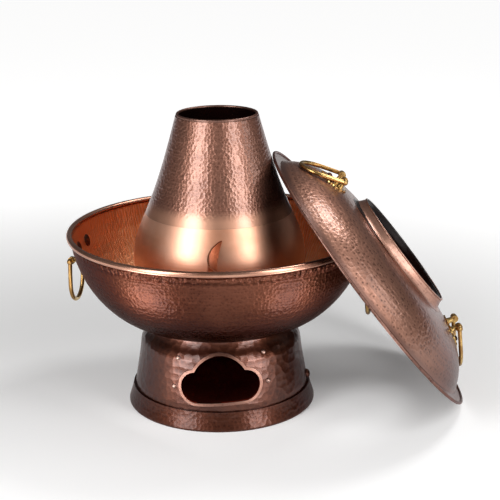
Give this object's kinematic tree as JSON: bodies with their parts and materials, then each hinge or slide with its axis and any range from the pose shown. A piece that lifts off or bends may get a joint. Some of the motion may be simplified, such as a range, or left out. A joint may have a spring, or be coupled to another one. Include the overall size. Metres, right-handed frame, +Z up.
{
  "type": "chimney hot pot",
  "caption": "Tabletop charcoal hot pot: ring-shaped soup bowl around a tapering chimney, vented stand, curved bowl dividers, ring handles and a domed lid leaning beside it.",
  "frame": {"origin": "pot's axis on the plane the stand rests on", "axes": "+Z up along the chimney, +X towards the leaning lid, the air vent faces -Y"},
  "size_m": [0.4505, 0.354, 0.332],
  "materials": {
    "dark_copper": "hammered antique copper, dark brown patina with worn pink highlights",
    "bright_copper": "brushed and polished bright copper",
    "rivet_copper": "hand-peened copper rivets",
    "brass": "cast and polished yellow brass",
    "iron": "sooty dark iron"
  },
  "bodies": {
    "pot": {"foot_ring": "dark_copper", "stand_shell": "dark_copper", "vent_trim": "dark_copper", "vent_rivets": "rivet_copper", "side_stud": "dark_copper", "ash_floor": "iron", "bowl_shell": "dark_copper", "bowl_rim": "bright_copper", "fire_chamber": "bright_copper", "chimney": "dark_copper", "chimney_edge": "dark_copper", "grate_ring": "iron", "fire_grate": "iron", "partition_front": "bright_copper", "partition_back": "bright_copper", "bowl_plate_left": "brass", "bowl_plate_right": "brass", "bowl_rivets_left": "rivet_copper", "bowl_rivets_right": "rivet_copper"},
    "lid": {"lid_shell": "dark_copper", "lid_edge": "bright_copper", "lid_collar": "dark_copper", "lid_plate_upper": "brass", "lid_plate_lower": "brass", "lid_rivets_upper": "rivet_copper", "lid_rivets_lower": "rivet_copper"},
    "bowl_ring_left_body": {"bowl_ring_left": "brass"},
    "bowl_ring_right_body": {"bowl_ring_right": "brass"},
    "lid_ring_upper_body": {"lid_ring_upper": "brass"},
    "lid_ring_lower_body": {"lid_ring_lower": "brass"}
  },
  "joints": [
    {"name": "lid_lift", "type": "slide", "parent": "pot", "child": "lid", "axis": [0.7944, 0, 0.6074], "range_m": [0, 0.25]},
    {"name": "left_bowl_ring_swing", "type": "hinge", "parent": "pot", "child": "bowl_ring_left_body", "pos_m": [-0.16562, 0.03219, 0.16019], "axis": [0.1908, 0.9816, 0], "range_deg": [-36, 160]},
    {"name": "right_bowl_ring_swing", "type": "hinge", "parent": "pot", "child": "bowl_ring_right_body", "pos_m": [0.16562, -0.03219, 0.16019], "axis": [-0.1908, -0.9816, 0], "range_deg": [-36, 160]},
    {"name": "upper_lid_ring_swing", "type": "hinge", "parent": "lid", "child": "lid_ring_upper_body", "pos_m": [0.13884, 0.003, 0.25551], "axis": [0, 1, 0], "range_deg": [0, 198]},
    {"name": "lower_lid_ring_swing", "type": "hinge", "parent": "lid", "child": "lid_ring_lower_body", "pos_m": [0.27094, 0.003, 0.08272], "axis": [0, -1, 0], "range_deg": [0, 198]}
  ]
}
